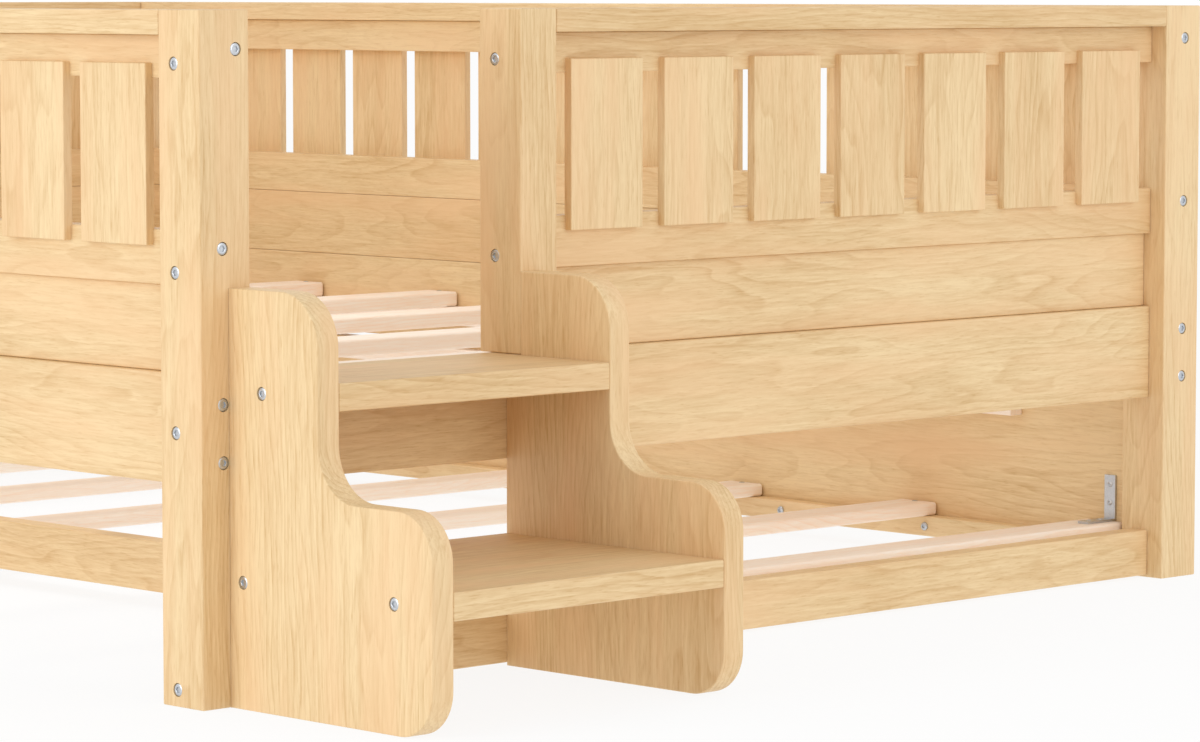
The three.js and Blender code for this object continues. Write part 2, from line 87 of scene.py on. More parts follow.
class BedSizes(bpy.types.PropertyGroup):
    """Sizes of what the solids leave to the looks, and of the counterbored places."""

    post_edge: length_property("Post edge", 1.8, "Radius of the posts' edges")
    rail_edge: length_property("Rail edge", 1.6, "Radius of the rails', caps' and treads' edges")
    board_edge: length_property("Guard board edge", 1.3, "Radius of the upright guard boards' edges")
    slat_edge: length_property("Slat edge", 4, "Radius of the slats' edges")
    strip_edge: length_property("Strip edge", 1.5, "Radius of the cleats' and thin boards' edges")
    panel_edge: length_property("Stair panel edge", 1.6, "Radius of the stair panels' outline edge")

    guard_board_width: length_property("Guard board width", 114, "Width of one upright board")
    guard_board_height: length_property("Guard board height", 195, "Height of one upright board")
    guard_board_proud: length_property("Guard board depth", 10, "How far a board stands out from the rails")
    guard_board_housing: length_property("Guard board housing", 2, "How deep a board is let into the rails")
    guard_board_overlap: length_property("Guard board overlap", 17, "Of a board's end over the lower rail")
    guard_end_gap: length_property("Guard end gap", 35.5, "From an end panel's end to its first board")
    side_near_gap: length_property("Side near gap", 26.5, "At the right panel's foot, the left one's head")
    side_far_gap: length_property("Side far gap", 40, "At the right panel's head, the left one's foot")
    guard_board_gap: length_property("Guard board gap", 33, "Between boards, as near as whole boards allow")
    lower_guard_rail: length_property("Lower guard rail", 58.7, "Height of the lower guard rail")
    upper_guard_rail: length_property("Upper guard rail", 46, "Height of the upper guard rail")

    stair_shoulder: length_property("Stair shoulder", 232, "Height of the stair panels' lower step")
    stair_top_radius: length_property("Stair top radius", 58, "Of the stair panels' top front corner")
    stair_inner_radius: length_property("Stair inner radius", 58, "Of the hollow between the two steps")
    stair_shoulder_radius: length_property("Stair shoulder radius", 52, "Of the lower step's front corner")
    stair_toe_radius: length_property("Stair toe radius", 50, "Of the front corner at the floor")

    counterbore_radius: length_property("Counterbore radius", 7.5, "Radius of the bolts' counterbores")
    counterbore_depth: length_property("Counterbore depth", 4, "Depth of the bolts' counterbores")
    bolt_radius: length_property("Bolt head radius", 7.2, "Radius of the bolts' cap heads")
    cleat_bolt_radius: length_property("Cleat bolt radius", 5.6, "Radius of the heads along the cleats")
    cleat_bolt_end: length_property("Cleat bolt end", 61, "From a cleat's end to its first bolt")
    cleat_bolt_pitch: length_property("Cleat bolt pitch", 270.5, "Between two bolts of a cleat")
    bolt_sink: length_property("Bolt head sink", 0.3, "How far a bolt head lies below the wood's face")
    socket_radius: length_property("Socket radius", 3.1, "Inner radius of the heads' hexagon socket")
    screw_radius: length_property("Screw head radius", 4.2, "Radius of the slats' screw heads")


class BedColours(bpy.types.PropertyGroup):
    """Colours of the finishes."""

    lacquered_light: colour_property("Lacquered wood, light", "#eed3a5", "Early wood under satin lacquer")
    lacquered_dark: colour_property("Lacquered wood, dark", "#cfa974", "Late wood under satin lacquer")
    lacquered_warm: colour_property("Lacquered wood, warm", "#edc697", "Warmer patches of the same wood")
    pine_light: colour_property("Raw pine, light", "#fff5e8", "Pale early wood of the planed slats")
    pine_dark: colour_property("Raw pine, dark", "#fadec4", "Late wood lines of the planed slats")
    pine_warm: colour_property("Raw pine, warm", "#ffebd8", "Warmer patches of the planed slats")
    zinc: colour_property("Zinc plate", "#c9cdd2", "Bright zinc plate of bolts, brackets and forks")
    plastic: colour_property("Wheel plastic", "#35363a", "Moulded dark plastic of the castor wheels")
    floor: colour_property("Floor", "#f6f6f5", "Plain pale studio floor")


def sizes():
    """The scene's sizes."""
    return bpy.context.scene.bed_sizes


def colours():
    """The scene's colours."""
    return bpy.context.scene.bed_colours


# Meshes

def turn(count):
    """Angles of a full turn in equal steps."""
    return np.arange(count) / count * 2 * math.pi


def edge_stations(half, radius, steps):
    """Places along one axis of a block: the tangents of equal angles in both rounded ends."""
    bend = half - radius + radius * np.tan(np.linspace(math.pi / 4, 0, steps + 1))
    return np.concatenate([-bend, bend[::-1]])


def rounded_block(low, high, radius, steps=3):
    """Vertices, quads and normals of a block with all its edges and corners rounded.

    Each point of the plain block's surface is drawn back to the nearest point of the block shrunk by the
    radius, and then set out again by the radius along the line between the two, which is also its normal.
    """
    low, high = np.array(low, float), np.array(high, float)
    half = (high - low) / 2
    radius = min(radius, half.min() * 0.98)
    stations = [edge_stations(h, radius, steps) for h in half]
    points, quads, count = [], [], 0
    for axis in (X, Y, Z):
        first, second = (axis + 1) % 3, (axis + 2) % 3
        grid = np.stack(np.meshgrid(stations[first], stations[second], indexing="ij"), -1)
        rows, columns = grid.shape[:2]
        corner = (np.arange(rows - 1)[:, None] * columns + np.arange(columns - 1)).ravel()
        square = np.stack([corner, corner + columns, corner + columns + 1, corner + 1], -1)
        for side in (-1, 1):
            face = np.zeros((rows * columns, 3))
            face[:, first], face[:, second] = grid.reshape(-1, 2).T
            face[:, axis] = side * half[axis]
            points.append(face)
            quads.append((square if side > 0 else square[:, ::-1]) + count)
            count += rows * columns
    points, quads = np.concatenate(points), np.concatenate(quads)
    keys = np.round(points / 1e-7).astype(np.int64)
    _, kept, index = np.unique(keys, axis=0, return_index=True, return_inverse=True)
    points, quads = points[kept], index.reshape(-1)[quads]
    inner = np.clip(points, radius - half, half - radius)
    normals = points - inner
    normals /= np.linalg.norm(normals, axis=1, keepdims=True)
    return inner + radius * normals + (low + high) / 2, quads, normals


def ring_surface(rings):
    """Vertices and faces of rings of equal count, joined in order and closed by a flat face at both ends."""
    levels, count = rings.shape[:2]
    around = np.arange(count)
    level = np.arange(levels - 1)[:, None] * count
    following = (around + 1) % count
    above = level + count
    quads = np.stack([level + around, level + following, above + following, above + around], -1)
    faces = quads.reshape(-1, 4).tolist()
    faces.append(around[::-1].tolist())
    faces.append(((levels - 1) * count + around).tolist())
    return rings.reshape(-1, 3), faces


def socket_head(radius, height, socket, depth, crown, count=36):
    """Vertices and faces of a round screw head on z = 0 with a hexagon socket.

    Ring k has the radius and height of the k-th profile point. The socket's rings follow a hexagon, whose
    radius at angle a is the inner radius over the cosine of a's distance from the middle of its flat.
    """
    angle = turn(count)
    hexagon = socket / np.cos((angle % (math.pi / 3)) - math.pi / 6)
    circle = np.ones(count)
    rim = height - crown
    profile = [
        (circle * radius, 0.0), (circle * radius, rim * 0.55), (circle * radius * 0.985, rim * 0.86),
        (circle * radius * 0.93, rim), (circle * radius * 0.8, height - crown * 0.35),
        (hexagon * 1.12, height), (hexagon, height - crown * 0.25), (hexagon * 0.98, height - depth),
    ]
    rings = np.stack([np.stack([r * np.cos(angle), r * np.sin(angle), np.full(count, z)], -1)
                      for r, z in profile])
    return ring_surface(rings)


def turned_copies(vertices, faces, origins, axes):
    """Copies of a shape, each with its z axis along one of the given axes and its origin at one place."""
    origins, axes = np.array(origins, float), np.array(axes, float)
    helper = np.where(np.abs(axes[:, [2]]) > 0.9, [[1.0, 0.0, 0.0]], [[0.0, 0.0, 1.0]])
    side = np.cross(helper, axes)
    side /= np.linalg.norm(side, axis=1, keepdims=True)
    other = np.cross(axes, side)
    turned = (vertices[None, :, [0]] * side[:, None] + vertices[None, :, [1]] * other[:, None]
              + vertices[None, :, [2]] * axes[:, None] + origins[:, None])
    count = len(vertices)
    every = [[corner + copy * count for corner in face] for copy in range(len(origins)) for face in faces]
    return turned.reshape(-1, 3), every


def lathe(profile, centre, count=64):
    """Vertices and quads of a closed half profile of (radius, along) points turned about the Y axis."""
    profile = np.array(profile, float)
    angle = turn(count)
    rings = np.stack([profile[:, [0]] * np.cos(angle), np.repeat(profile[:, [1]], count, 1),
                      profile[:, [0]] * np.sin(angle)], -1)
    level = np.arange(len(profile))[:, None]
    after = (level + 1) % len(profile)
    around = np.arange(count)
    following = (around + 1) % count
    quads = np.stack([level * count + around, level * count + following, after * count + following,
                      after * count + around], -1)
    return rings.reshape(-1, 3) + np.array(centre, float), quads.reshape(-1, 4)


def new_mesh(name, vertices, faces, normals=None):
    """A smooth-shaded mesh, with its own normals where they are known."""
    mesh = bpy.data.meshes.new(name)
    mesh.from_pydata(np.asarray(vertices).tolist(), [], np.asarray(faces).tolist()
                     if isinstance(faces, np.ndarray) else faces)
    mesh.shade_smooth()
    if normals is not None:
        mesh.normals_split_custom_set_from_vertices(normals.tolist())
    return mesh


def vertex_array(mesh):
    """A mesh's vertex places as an array."""
    values = np.empty(len(mesh.vertices) * 3, np.float32)
    mesh.vertices.foreach_get("co", values)
    return values.reshape(-1, 3).astype(float)


def add_grain(mesh, along, seed, painted_shade_shift=0.0):
    """Gives each vertex its place in the tree: along the grain, and across and through it from the heart.

    The heart lies behind the board's wide face, so that face shows long arches and the edges show lines. Two
    more attributes are the whole board's darkness, its own random part from -1 to 1 plus a painted shade
    shift for planks painted darker, and how far a point lies on a rounded edge, which is 1 less the largest
    part of its normal and where the wood paints a highlight.
    """
    places = vertex_array(mesh)
    low, high = places.min(0), places.max(0)
    size, middle = high - low, (low + high) / 2
    wide, thin = sorted((axis for axis in (X, Y, Z) if axis != along), key=lambda axis: -size[axis])
    random = np.random.default_rng(seed)
    start = random.uniform(0, 30)
    aside = random.uniform(-0.35, 0.35) * size[wide]
    heart = random.uniform(0.07, 0.13) * random.choice([-1, 1])
    values = np.stack([places[:, along] - middle[along] + start, places[:, wide] - middle[wide] + aside,
                       places[:, thin] - middle[thin] + heart], -1)
    mesh.attributes.new("grain", "FLOAT_VECTOR", "POINT").data.foreach_set(
        "vector", values.astype(np.float32).ravel())
    # Painted shade: the shift makes the chosen planks darker to stand in for shade.
    tone_and_shade = np.full(len(places), random.uniform(-1, 1) + painted_shade_shift, np.float32)
    mesh.attributes.new("tone_and_shade", "FLOAT", "POINT").data.foreach_set("value", tone_and_shade)
    normals = np.empty(len(places) * 3, np.float32)
    mesh.vertices.foreach_get("normal", normals)
    edge = 1 - np.abs(normals.reshape(-1, 3)).max(1)
    mesh.attributes.new("edge", "FLOAT", "POINT").data.foreach_set("value", edge)


def new_piece(name, mesh, material, body, slot, *nodes):
    """Puts a finished mesh in the scene, riding on its body and standing for its solids."""
    piece = bpy.data.objects.new(name, mesh)
    bpy.context.scene.collection.objects.link(piece)
    mesh.materials.append(material)
    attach(piece, body)
    if nodes:
        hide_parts(*nodes)
    return piece


# Painted shade: planks painted darker than the rest to stand in for shade, in steps of the random lightness
# that each board gets.
PLANK_SHADE_TONES = {"foot_cap_wood": 4.0, "foot_lower_guard_rail": 4.0, "foot_upper_guard_rail": 2.0,
               "left_middle_board_wood": 1.2, "right_middle_board_wood": 3.0,
               "stair_tread_upper_wood": 2.5, "stair_tread_lower_wood": 1.5}


def seed_of(name):
    """The same number for the same name in every run."""
    return sum((place + 1) * ord(letter) for place, letter in enumerate(name))


def wooden_block(name, low, high, radius, along, body, nodes=(), raw=False):
    """A board or stick with rounded edges between two corners, its grain along one axis."""
    vertices, quads, normals = rounded_block(low, high, radius)
    mesh = new_mesh(name, vertices, quads, normals)
    add_grain(mesh, along, seed_of(name), PLANK_SHADE_TONES.get(name, 0.0))
    material = raw_pine() if raw else lacquered_wood()
    return new_piece(name, mesh, material, body, "raw_pine" if raw else "finished_wood", *nodes)


def nodes_named(start):
    """The names of the solids that start alike, in order."""
    return sorted(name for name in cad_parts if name.startswith(start))


def node_block(node, radius, body, raw=False, along=None):
    """A wooden block in place of a solid, grained along the solid's longest way unless told otherwise."""
    low, high = (np.array(corner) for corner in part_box(node))
    along = int(np.argmax(high - low)) if along is None else along
    return wooden_block(node + "_wood", low, high, radius, along, body, (node,), raw)


def counterbored(name, mesh, centres, axis):
    """The mesh with round blind holes cut at centres on its face, along one axis, its edges kept crisp."""
    part = bpy.data.objects.new(name + "_uncut", mesh)
    depth, angle = sizes().counterbore_depth, turn(40)
    circle = np.stack([np.cos(angle), np.sin(angle)], -1) * sizes().counterbore_radius
    rings = np.stack([np.column_stack([circle, np.full(len(circle), z)]) for z in (-depth, depth)])
    directions = np.zeros((len(centres), 3))
    directions[:, axis] = 1
    tool_mesh = new_mesh(name + "_tool", *turned_copies(*ring_surface(rings), centres, directions))
    tool = bpy.data.objects.new(name + "_tool", tool_mesh)
    for obj in (part, tool):
        bpy.context.scene.collection.objects.link(obj)
    cut = part.modifiers.new("counterbores", "BOOLEAN")
    cut.operation, cut.solver, cut.object = "DIFFERENCE", "EXACT", tool
    depsgraph = bpy.context.evaluated_depsgraph_get()
    made = bpy.data.meshes.new_from_object(part.evaluated_get(depsgraph))
    for obj in (part, tool):
        bpy.data.objects.remove(obj)
    made.name = name
    made.shade_smooth()
    made.set_sharp_from_angle(angle=math.radians(32))
    return made


def keep_flats(piece):
    """Weighs the normals by face area, so that flats stay flat beside their rounded edges."""
    weighted = piece.modifiers.new("flat faces", "WEIGHTED_NORMAL")
    weighted.keep_sharp = True
    weighted.weight = 100


def place_bored(node, mesh):
    """Puts a counterbored mesh in the scene in place of its solid, grained upright."""
    add_grain(mesh, Z, seed_of(node))
    keep_flats(new_piece(node + "_wood", mesh, lacquered_wood(), "bed", "finished_wood", node))


# Materials

def add_node(tree, kind, settings=None, inputs=None):
    """Adds one node, sets its properties, and sets or links its inputs."""
    made = tree.nodes.new(kind)
    for key, value in (settings or {}).items():
        setattr(made, key, value)
    for key, value in (inputs or {}).items():
        if isinstance(value, bpy.types.NodeSocket):
            tree.links.new(value, made.inputs[key])
        else:
            made.inputs[key].default_value = value
    return made


def new_material(name):
    """An empty node material and its tree, or the finished one of that name and None."""
    found = bpy.data.materials.get(name)
    if found:
        return found, None
    material = bpy.data.materials.new(name)
    material.use_nodes = True
    material.node_tree.nodes.clear()
    return material, material.node_tree


def finish_material(tree, shader):
    """Links the shader to the output."""
    add_node(tree, "ShaderNodeOutputMaterial", inputs={"Surface": shader.outputs[0]})


def finish_surface(tree, inputs):
    """Links a principled shader with these inputs to the output."""
    finish_material(tree, add_node(tree, "ShaderNodeBsdfPrincipled", inputs=inputs))


def white_light(tree, kind, strength):
    """White from an emission or background node."""
    return add_node(tree, kind, inputs={"Color": (1, 1, 1, 1), "Strength": strength})


def blend(tree, share, first, second):
    """The shader that lies a share of the way from the first to the second."""
    return add_node(tree, "ShaderNodeMixShader",
                    inputs={0: share, 1: first.outputs[0], 2: second.outputs[0]})


def ramp(tree, factor, stops):
    """A colour ramp with the given places and linear colours."""
    made = add_node(tree, "ShaderNodeValToRGB", inputs={"Fac": factor})
    elements = made.color_ramp.elements
    for index, (place, colour) in enumerate(stops):
        element = elements[index] if index < 2 else elements.new(place)
        element.position, element.color = place, (*colour, 1)
    return made


def math_node(tree, operation, first, second):
    """The result socket of one sum on two numbers or sockets."""
    return add_node(tree, "ShaderNodeMath", {"operation": operation}, {0: first, 1: second}).outputs[0]


def scaled(tree, level, share, start):
    """A share of a level, added to a start value."""
    return math_node(tree, "ADD", math_node(tree, "MULTIPLY", level, share), start)


def noise(tree, place, scales, detail, roughness=0.5):
    """The level of a noise stretched along the grain, with its scales along, across and through it."""
    stretched = add_node(tree, "ShaderNodeMapping", inputs={"Vector": place, "Scale": scales}).outputs[0]
    return add_node(tree, "ShaderNodeTexNoise", inputs={"Vector": stretched, "Scale": 1.0, "Detail": detail,
                                                        "Roughness": roughness}).outputs["Fac"]


def spots(tree, place, size_mm, detail=2.0):
    """The level of an even noise with spots of about one size."""
    return add_node(tree, "ShaderNodeTexNoise", inputs={"Vector": place, "Scale": 1 / (size_mm * MM),
                                                        "Detail": detail}).outputs["Fac"]


def growth_rings(tree, grain, ring_mm):
    """Late wood lines about the heart, drawn out into long arches by the trunk's slow waver."""
    slow = add_node(tree, "ShaderNodeMapping", inputs={"Vector": grain, "Scale": (0.2, 1.0, 1.0)}).outputs[0]
    waver = add_node(tree, "ShaderNodeTexNoise", inputs={"Vector": slow, "Scale": 7.0, "Detail": 3.0})
    centred = add_node(tree, "ShaderNodeVectorMath", {"operation": "SUBTRACT"},
                       {0: waver.outputs["Color"], 1: (0.5, 0.5, 0.5)}).outputs[0]
    pushed = add_node(tree, "ShaderNodeVectorMath", {"operation": "MULTIPLY_ADD"},
                      {0: centred, 1: (0.0, 0.13, 0.13), 2: slow}).outputs[0]
    # A ring texture repeats every 2 pi / 20 of its input at scale 1.
    scale = 2 * math.pi / 20 / (ring_mm * MM)
    rings = add_node(tree, "ShaderNodeTexWave",
                     {"wave_type": "RINGS", "rings_direction": "X", "wave_profile": "SAW"},
                     {"Vector": pushed, "Scale": scale, "Distortion": 2.2, "Detail": 3.0,
                      "Detail Scale": 0.9, "Detail Roughness": 0.6}).outputs["Fac"]
    stops = [(0.0, (0.1,) * 3), (1.0, (0.0,) * 3), (0.6, (0.35,) * 3), (0.9, (1.0,) * 3)]
    return ramp(tree, rings, stops).outputs[0]


def weighted_sum(tree, rows, start):
    """The sum of a start value and each (socket, weight) row, every socket centred on 0.5."""
    total = start
    for socket, weight in rows:
        total = scaled(tree, math_node(tree, "SUBTRACT", socket, 0.5), weight, total)
    return total


def wood(name, light, dark, warm, ring_mm, ring_share, roughness):
    """Wood seen by its place in the tree: rings, streaks, fibres and pores along the grain, and clouds."""
    material, tree = new_material(name)
    if tree is None:
        return material
    grain, tone_and_shade, edge = (add_node(tree, "ShaderNodeAttribute", {"attribute_name": key}).outputs[kind]
                         for key, kind in (("grain", "Vector"), ("tone_and_shade", "Fac"), ("edge", "Fac")))
    # Across the grain: clouds of 120 mm, streaks of 12 mm, fibres of 3 mm and pores of 1.4 mm.
    clouds = noise(tree, grain, (2.2, 8.0, 8.0), 2.0)
    streaks = noise(tree, grain, (3.5, 85.0, 85.0), 3.0, 0.6)
    fibres = noise(tree, grain, (22.0, 300.0, 300.0), 3.0, 0.65)
    pores = noise(tree, grain, (60.0, 700.0, 700.0), 1.0)
    pits = ramp(tree, pores, [(0.6, (0.0,) * 3), (0.72, (1.0,) * 3)]).outputs[0]
    rings = growth_rings(tree, grain, ring_mm)
    # Where the clouds are dense the rings show more.
    shown = math_node(tree, "MULTIPLY", rings, math_node(tree, "MULTIPLY", clouds, 2 * ring_share))
    mix = weighted_sum(tree, [(clouds, 0.75), (streaks, 0.65), (fibres, 1.25), (pits, 0.3)], shown)
    # Rounded edges are painted lighter, a painted highlight along them. Planks given a shade shift come out
    # darker, which is painted shade.
    tone_and_shade_share, painted_highlight_share, middle = 0.08, -0.3, 0.35
    mix = scaled(tree, edge, painted_highlight_share, scaled(tree, tone_and_shade, tone_and_shade_share, mix))
    mix = math_node(tree, "ADD", mix, middle)
    plain = ramp(tree, mix, [(0.0, light), (1.0, dark)]).outputs[0]
    # Warm patches of about 60 mm across the grain.
    patches = noise(tree, grain, (3.0, 17.0, 17.0), 2.0)
    amount = ramp(tree, patches, [(0.42, (0.0,) * 3), (0.75, (0.75,) * 3)]).outputs[0]
    colour = add_node(tree, "ShaderNodeMix", {"data_type": "RGBA", "blend_type": "MIX"})
    tree.links.new(amount, colour.inputs["Factor"])
    tree.links.new(plain, colour.inputs["A"])
    colour.inputs["B"].default_value = (*warm, 1)
    height = math_node(tree, "SUBTRACT", fibres, pits)
    bump = add_node(tree, "ShaderNodeBump", inputs={"Height": height, "Strength": 0.1, "Distance": 0.3 * MM})
    gloss_range = 0.14
    gloss = scaled(tree, fibres, gloss_range, roughness - gloss_range / 2)
    finish_surface(tree, {"Base Color": colour.outputs["Result"], "Roughness": gloss, "IOR": 1.45,
                          "Normal": bump.outputs[0]})
    return material


def lacquered_wood():
    """Pale close-grained hardwood, planed and sprayed with satin lacquer: golden, with faint long arches."""
    c = colours()
    return wood("lacquered_pale_wood", c.lacquered_light, c.lacquered_dark, c.lacquered_warm, 8.0, 0.34, 0.5)


def raw_pine():
    """Planed pine without finish: pinkish and dull, with stronger rings."""
    c = colours()
    return wood("planed_raw_pine", c.pine_light, c.pine_dark, c.pine_warm, 7.0, 0.35, 0.64)


def zinc_plate():
    """Bright zinc plate on steel: a cool grey metal with a slightly cloudy, crystalline gloss."""
    material, tree = new_material("bright_zinc_plate")
    if tree is None:
        return material
    place = add_node(tree, "ShaderNodeTexCoord").outputs["Object"]
    # Crystals of about 1.5 mm.
    crystals = add_node(tree, "ShaderNodeTexVoronoi", inputs={"Vector": place, "Scale": 1 / (1.5 * MM)})
    clouds = spots(tree, place, 4, 3.0)
    mixed = math_node(tree, "MULTIPLY", crystals.outputs["Distance"], clouds)
    light = tuple(colours().zinc)
    shade = tuple(0.8 * value for value in light)
    colour = ramp(tree, mixed, [(0.1, light), (0.75, shade)]).outputs[0]
    gloss = scaled(tree, clouds, 0.2, 0.25)
    finish_surface(tree, {"Base Color": colour, "Roughness": gloss, "Metallic": 1.0})
    return material


def moulded_plastic():
    """Injection-moulded nylon: dark grey, with a fine even texture that dulls its gloss."""
    material, tree = new_material("moulded_dark_nylon")
    if tree is None:
        return material
    place = add_node(tree, "ShaderNodeTexCoord").outputs["Object"]
    speckle = spots(tree, place, 0.8)
    base = tuple(colours().plastic)
    lighter = tuple(min(1.0, 1.35 * value) for value in base)
    colour = ramp(tree, speckle, [(0.35, base), (0.7, lighter)]).outputs[0]
    bump = add_node(tree, "ShaderNodeBump", inputs={"Height": speckle, "Strength": 0.15,
                                                    "Distance": 0.1 * MM})
    gloss = scaled(tree, speckle, 0.15, 0.42)
    finish_surface(tree, {"Base Color": colour, "Roughness": gloss, "Normal": bump.outputs[0]})
    return material


# Places of the bolts, worked out from the solids that they hold

END_BOLT_SHARES = {"bottom_rail": (0.26,), "rail": (0.49,), "lower": (0.27,), "upper": (0.35,)}
SIDE_BOLT_SHARES = {"rail": (0.23, 0.75), "lower": (0.71,), "upper": (0.68,)}
END_BOLT_INSET = 4 * MM
SIDE_BOLT_OUTSET = 8.5 * MM
LEFT_TOP_BOLT_INSET = 11 * MM
TREAD_BOLT_SHARES = {"stair_tread_upper": (0.54,), "stair_tread_lower": (0.17, 0.87)}
JOINT = 0.3 * MM


def band(low, high):
    """The bottom and height of a member that stands on another, its seat's clearance taken in."""
    return low - JOINT, high - low + JOINT


def member_bands(side):
    """Bottoms and heights of the bolted members of one side."""
    guard_low, guard_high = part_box(side + "_guard_panel")
    bands = {
        "rail": band(*(corner.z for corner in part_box(side + "_rail"))),
        "lower": band(guard_low.z, guard_low.z + sizes().lower_guard_rail),
        "upper": (guard_high.z - sizes().upper_guard_rail, sizes().upper_guard_rail),
    }
    if side in ENDS:
        bands["bottom_rail"] = band(*(corner.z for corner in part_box(side + "_bottom_rail")))
    return bands


def bolt_heights(side, shares):
    """Heights of the bolts into one side's members."""
    bands = member_bands(side)
    return [bands[key][0] + share * bands[key][1] for key, row in shares.items() for share in row]


def post_bolts(end, hand):
    """Places and outward directions of a corner post's bolts: first across the bed, then along it.

    They lie a little aside from the middle of the rails that they hold, the left side's top one further in.
    """
    low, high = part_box(f"post_{end}_{hand}")
    rail_low, rail_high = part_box(end + "_rail")
    side_low, side_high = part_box(hand + "_rail")
    outward_x = 1 if hand == "right" else -1
    outward_y = 1 if end == "head" else -1
    face_x = high.x if hand == "right" else low.x
    face_y = high.y if end == "head" else low.y
    end_y = (rail_low.y + rail_high.y) / 2 - outward_y * END_BOLT_INSET
    middle_x = (side_low.x + side_high.x) / 2
    across = [((face_x, end_y, z), (outward_x, 0, 0)) for z in bolt_heights(end, END_BOLT_SHARES)]
    *lower, top = bolt_heights(hand, SIDE_BOLT_SHARES)
    side_x = middle_x + outward_x * SIDE_BOLT_OUTSET
    top_x = side_x if hand == "right" else middle_x + LEFT_TOP_BOLT_INSET
    places = [(side_x, face_y, z) for z in lower] + [(top_x, face_y, top)]
    return across, [(place, (0, outward_y, 0)) for place in places]


def entrance_bolts():
    """Places and outward directions of the entrance post's bolts."""
    low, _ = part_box("post_entrance")
    rail_low, rail_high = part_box("foot_rail")
    end_y = (rail_low.y + rail_high.y) / 2 + END_BOLT_INSET
    shares = {key: END_BOLT_SHARES[key] for key in ("lower", "upper")}
    return [((low.x, end_y, z), (-1, 0, 0)) for z in bolt_heights("foot", shares)]


def stair_bolts(hand):
    """Places and outward directions of a stair panel's bolts into the treads' ends."""
    low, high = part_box("stair_panel_" + hand)
    face, outward = (low.x, -1) if hand == "left" else (high.x, 1)
    places = []
    for tread, shares in TREAD_BOLT_SHARES.items():
        tread_low, tread_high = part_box(tread)
        z = (tread_low.z + tread_high.z) / 2
        depth = tread_high.y - tread_low.y
        places += [((face, tread_low.y + share * depth, z), (outward, 0, 0)) for share in shares]
    return places


def all_bed_bolts():
    """Every counterbored bolt of the bed frame."""
    rows = entrance_bolts() + stair_bolts("left") + stair_bolts("right")
    for end in ENDS:
        for hand in HANDS:
            across, lengthwise = post_bolts(end, hand)
            rows += across + lengthwise
    return rows


# Operators

class BED_OT_posts(bpy.types.Operator):
    """Make the four corner posts and the entrance post, counterbored for their bolts"""

    bl_idname = "bed.posts"
    bl_label = "Make posts"

    def execute(self, context):
        for end in ENDS:
            for hand in HANDS:
                self.post(f"post_{end}_{hand}", *post_bolts(end, hand))
        self.post("post_entrance", entrance_bolts(), [])
        return {"FINISHED"}

    def post(self, node, across, lengthwise):
        """One post, cut first from its x face and then from its y face."""
        mesh = new_mesh(node + "_wood", *rounded_block(*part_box(node), sizes().post_edge)[:2])
        mesh = counterbored(node + "_wood", mesh, [place for place, _ in across], X)
        if lengthwise:
            mesh = counterbored(node + "_wood", mesh, [place for place, _ in lengthwise], Y)
        place_bored(node, mesh)


class BED_OT_side_members(bpy.types.Operator):
    """Make the rails, the thin middle boards and the caps between the posts"""

    bl_idname = "bed.side_members"
    bl_label = "Make rails, boards and caps"

    def execute(self, context):
        for side in SIDES:
            node_block(side + "_rail", sizes().rail_edge, "bed")
            node_block(side + "_middle_board", sizes().strip_edge, "bed")
            node_block(side + "_cap", sizes().rail_edge, "bed")
        for side in ENDS:
            node_block(side + "_bottom_rail", sizes().rail_edge, "bed")
        return {"FINISHED"}


class BED_OT_guard_panels(bpy.types.Operator):
    """Make the guard panels: two rails and the upright boards on their outward faces"""

    bl_idname = "bed.guard_panels"
    bl_label = "Make guard panels"

    def execute(self, context):
        for side in SIDES:
            self.panel(side)
        return {"FINISHED"}

    def end_gaps(self, side):
        """From a panel's lower and higher end to its outer boards. Both side panels are the same piece."""
        s = sizes()
        if side in ENDS:
            return s.guard_end_gap, s.guard_end_gap
        return (s.side_near_gap, s.side_far_gap) if side == "right" else (s.side_far_gap, s.side_near_gap)

    def panel(self, side):
        """The rails and boards of one side. The outward face is the panel's lowest or highest one."""
        s, node = sizes(), side + "_guard_panel"
        low, high = (np.array(corner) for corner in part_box(node))
        along, depth = (X, Y) if side in ENDS else (Y, X)
        outward_low = side in ("foot", "left")
        rail_low, rail_high = low.copy(), high.copy()
        if outward_low:
            rail_low[depth] += s.guard_board_proud
        else:
            rail_high[depth] -= s.guard_board_proud
        lower_top, upper_bottom = rail_high.copy(), rail_low.copy()
        lower_top[Z] = low[Z] + s.lower_guard_rail
        upper_bottom[Z] = high[Z] - s.upper_guard_rail
        rails = {"lower": (rail_low, lower_top), "upper": (upper_bottom, rail_high)}
        for name, (start, stop) in rails.items():
            wooden_block(f"{side}_{name}_guard_rail", start, stop, s.strip_edge, along, "bed", (node,))
        low_gap, high_gap = self.end_gaps(side)
        span = high[along] - low[along] - low_gap - high_gap
        count = round((span + s.guard_board_gap) / (s.guard_board_width + s.guard_board_gap))
        starts = low[along] + low_gap + np.linspace(0, span - s.guard_board_width, count)
        bottom = lower_top[Z] - s.guard_board_overlap
        for index, start in enumerate(starts):
            board_low, board_high = low.copy(), high.copy()
            board_low[along], board_high[along] = start, start + s.guard_board_width
            board_low[Z], board_high[Z] = bottom, bottom + s.guard_board_height
            if outward_low:
                board_high[depth] = rail_low[depth] + s.guard_board_housing
            else:
                board_low[depth] = rail_high[depth] - s.guard_board_housing
            name = f"{side}_guard_board_{index + 1}"
            wooden_block(name, board_low, board_high, s.board_edge, Z, "bed", (node,))


